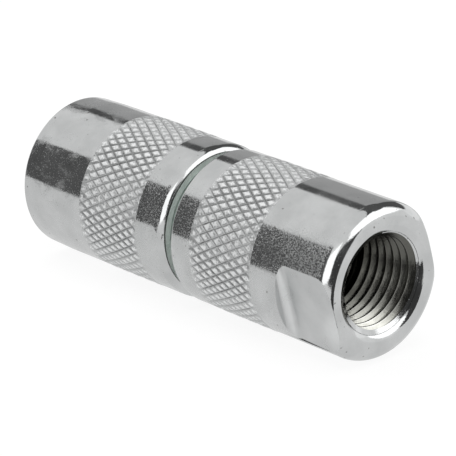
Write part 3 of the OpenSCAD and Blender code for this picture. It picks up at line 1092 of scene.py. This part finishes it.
def studio_card(name, low, high, brightness, turn=0):
    """Flat card seen only as a reflection in the metal, between two corners, in metres.

    It can be turned about its low corner, in degrees.
    """
    low, high = Vector(low), Vector(high)
    size = high - low
    deselect_all()
    bpy.ops.mesh.primitive_cube_add(size=1, location=(low + high) / 2)
    card = bpy.context.object
    card.scale = [max(abs(side), 0.001) for side in size]
    card.rotation_euler.z = math.radians(turn)
    card.location = low + card.rotation_euler.to_matrix() @ size / 2
    settle(card, name)
    give(card, glowing(name, brightness))
    card.visible_camera = False
    card.visible_diffuse = False
    card.visible_shadow = False
    card.visible_transmission = False
    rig.stage(card)


def white_to_the_eye(nodes, links, camera=1.0, mirrors=1.0):
    """Share of white for rays of the camera, and for those of reflections and transmission."""
    path = nodes.new("ShaderNodeLightPath")
    mirrored = combine(
        nodes, links, "MAXIMUM", path.outputs["Is Glossy Ray"], path.outputs["Is Transmission Ray"]
    )
    return combine(
        nodes,
        links,
        "MAXIMUM",
        combine(nodes, links, "MULTIPLY", path.outputs["Is Camera Ray"], camera),
        combine(nodes, links, "MULTIPLY", mirrored, mirrors),
    )


def make_floor():
    deselect_all()
    bpy.ops.mesh.primitive_plane_add(size=6, location=(0, 0, floor_z))
    floor = settle(bpy.context.object, "floor")
    material, nodes, links, shader = new_material("pale_floor")
    shader.inputs["Base Color"].default_value = (0.9, 0.9, 0.9, 1)
    shader.inputs["Roughness"].default_value = 0.9
    shader.inputs["Specular IOR Level"].default_value = 0.0
    glow = nodes.new("ShaderNodeEmission")
    links.new(white_to_the_eye(nodes, links, camera=1.1, mirrors=0.78), glow.inputs["Strength"])
    mix = nodes.new("ShaderNodeMixShader")
    links.new(white_to_the_eye(nodes, links, camera=0.8, mirrors=0.9), mix.inputs["Fac"])
    links.new(shader.outputs["BSDF"], mix.inputs[1])
    links.new(glow.outputs["Emission"], mix.inputs[2])
    links.new(mix.outputs["Shader"], nodes["Material Output"].inputs["Surface"])
    give(floor, material)
    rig.stage(floor)


def light_the_studio():
    world = bpy.data.worlds.new("studio")
    bpy.context.scene.world = world
    world.use_nodes = True
    nodes, links = world.node_tree.nodes, world.node_tree.links
    backdrop = nodes["Background"]
    backdrop.inputs["Color"].default_value = (1, 1, 1, 1)
    strength = nodes.new("ShaderNodeMapRange")
    strength.inputs["To Min"].default_value = 0.6
    strength.inputs["To Max"].default_value = 1.0
    links.new(white_to_the_eye(nodes, links), strength.inputs["Value"])
    links.new(strength.outputs["Result"], backdrop.inputs["Strength"])

    deselect_all()
    bpy.ops.object.light_add(type="AREA", location=(-0.1, -0.15, 0.6))
    lamp = bpy.context.object
    lamp.name = "overhead_softbox"
    lamp.data.shape = "RECTANGLE"
    lamp.data.size = 0.9
    lamp.data.size_y = 0.7
    lamp.data.energy = 1.6
    lamp.visible_glossy = False


def set_up_cards():
    floor_top = floor_z + 0.0005
    above_floor = floor_top + 0.001
    top = 0.65
    front = -0.565
    back = 0.67
    dark = 0.10
    black = 0.05
    studio_card("overhead_cloth", (-2.0, front, top), (1.6, 0.41, top), 0.80)
    studio_card("overhead_front", (0.1, -1.3, top), (1.6, front, top), 0.82)
    studio_card("overhead_lamp", (0.25, 0.39, 0.64), (0.90, 1.19, 0.64), 1.6, turn=-46.5)
    studio_card("dark_gap", (-2.0, 0.41, top), (0.6, back, top), dark)
    studio_card("dark_gap_near", (-0.45, 0.26, 0.645), (0.45, 0.41, 0.645), dark)
    studio_card("grey_wall", (-2.0, back, floor_z), (-0.35, back, top), 0.40)
    studio_card("dark_corner", (-0.35, back, 0.2), (0.15, back, top), dark)
    studio_card("dark_front", (-2.0, front, floor_z), (0.17, front, top), dark)
    studio_card("dark_table_edge", (-1.0, -0.6, floor_top), (-0.02, -0.047, floor_top), dark)
    studio_card("grey_table", (-1.0, -0.047, floor_top), (-0.005, 0.010, floor_top), 0.72)
    studio_card("bright_spot", (-0.005, -0.015, floor_top), (0.0035, -0.0075, floor_top), 0.95)
    studio_card("shade_by_step", (-0.005, -0.0185, floor_top), (0.002, -0.015, floor_top), dark)
    studio_card("front_window", (0.17, -0.56, floor_z), (0.648, -0.56, 0.42), 1.5, turn=52)
    studio_card("dark_right", (0.5, -0.2, floor_z), (0.5, 0.2, 0.215), black)
    studio_card("side_window", (0.75, 0.02, 0.2), (0.75, 0.55, 0.64), 1.6)
    studio_card("back_wall", (0.48, 0.2, floor_z), (0.98, 0.2, 0.2), 0.85, turn=120)
    studio_card("back_window", (0.48, 0.2, 0.2), (0.98, 0.2, 0.6), 1.7, turn=120)
    studio_card(
        "dark_table_right", (0.025, -0.002, floor_top), (0.625, -0.602, floor_top), black, turn=56
    )
    studio_card(
        "pale_table_right", (0.025, -0.002, above_floor), (0.4, -0.602, above_floor), 0.8, turn=110
    )
    studio_card("dark_before_inlet", (0.015, -0.0075, floor_z), (0.015, 0.002, 0.006), black)
    studio_card(
        "shade_before_inlet", (0.0085, -0.008, floor_top), (0.0145, -0.002, floor_top), black
    )


def place_camera():
    """Camera fitted to the photograph, by where it sees the middle of the inlet face, in mm."""
    azimuth, elevation, lens = 47.57, 20.35, 249.83
    offset = Vector((14.4467, -5.2490, -293.5265))
    turn = Euler((math.radians(90 - elevation), 0, math.radians(azimuth)))
    data = bpy.data.cameras.new("camera")
    data.lens = lens
    data.sensor_width = 36
    data.clip_start = 0.01
    camera = bpy.data.objects.new("camera", data)
    bpy.context.scene.collection.objects.link(camera)
    camera.rotation_euler = turn
    camera.location = Vector((inlet_face_x, 0, 0)) - turn.to_matrix() @ offset * MM
    bpy.context.scene.camera = camera


bpy.context.scene.view_settings.view_transform = "Standard"

zinc = plated_zinc()
body_knurl_zinc = knurled_plate("zinc_knurl_body", BODY_R)
sleeve_knurl_zinc = knurled_plate("zinc_knurl_sleeve", SLEEVE_R)
dull_zinc = dull_plate()
bore_zinc = plate_in_bore()
milled_zinc = milled_plate()
shoulder_shade_zinc = shoulder_shade_plate()
hardened = ground_steel()
wire = drawn_wire()
nitrile = moulded_nitrile()

inlet_body = make_inlet_body()
jaw_sleeve = make_jaw_sleeve()
jaws = make_jaws()
nozzle = make_nozzle()
valve_coil = coil_spring("valve_coil", "valve_spring", VALVE_WIRE, VALVE_TURNS)
main_coil = coil_spring("main_coil", "main_spring", MAIN_WIRE, MAIN_TURNS)

dressed = [
    (inlet_body, "inlet_body", "inlet_body", "zinc_plate"),
    (jaw_sleeve, "jaw_sleeve", "jaw_sleeve", "zinc_plate"),
    (nozzle, "piston", "nozzle_seal", "nitrile"),
    (valve_coil, "inlet_body", "valve_spring", "spring_steel"),
    (main_coil, "inlet_body", "main_spring", "spring_steel"),
]
for number, jaw in enumerate(jaws, 1):
    dressed.append((jaw, f"jaw_{number}", f"jaw_{number}", "hardened_steel"))
for piece, body, node, slot in dressed:
    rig.ride(piece, body)
    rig.replaces(piece, node)
    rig.slot(piece, slot)
shorten_with(valve_coil, "check_ball_lift", BALL_LIFT, min)
shorten_with(main_coil, "piston_push", PISTON_STROKE, max)

for node, material in {
    "check_ball": hardened,
    "spring_plate": zinc,
    "piston": zinc,
    "piston_o_ring": nitrile,
    "sleeve_o_ring": nitrile,
}.items():
    give(frame["nodes"][node], material)

make_floor()
light_the_studio()
set_up_cards()
place_camera()

boxes = {"cad": cad_box, "visual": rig.bounds()}
with open("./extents.json", "w") as out:
    json.dump({name: [list(corner) for corner in box] for name, box in boxes.items()}, out)
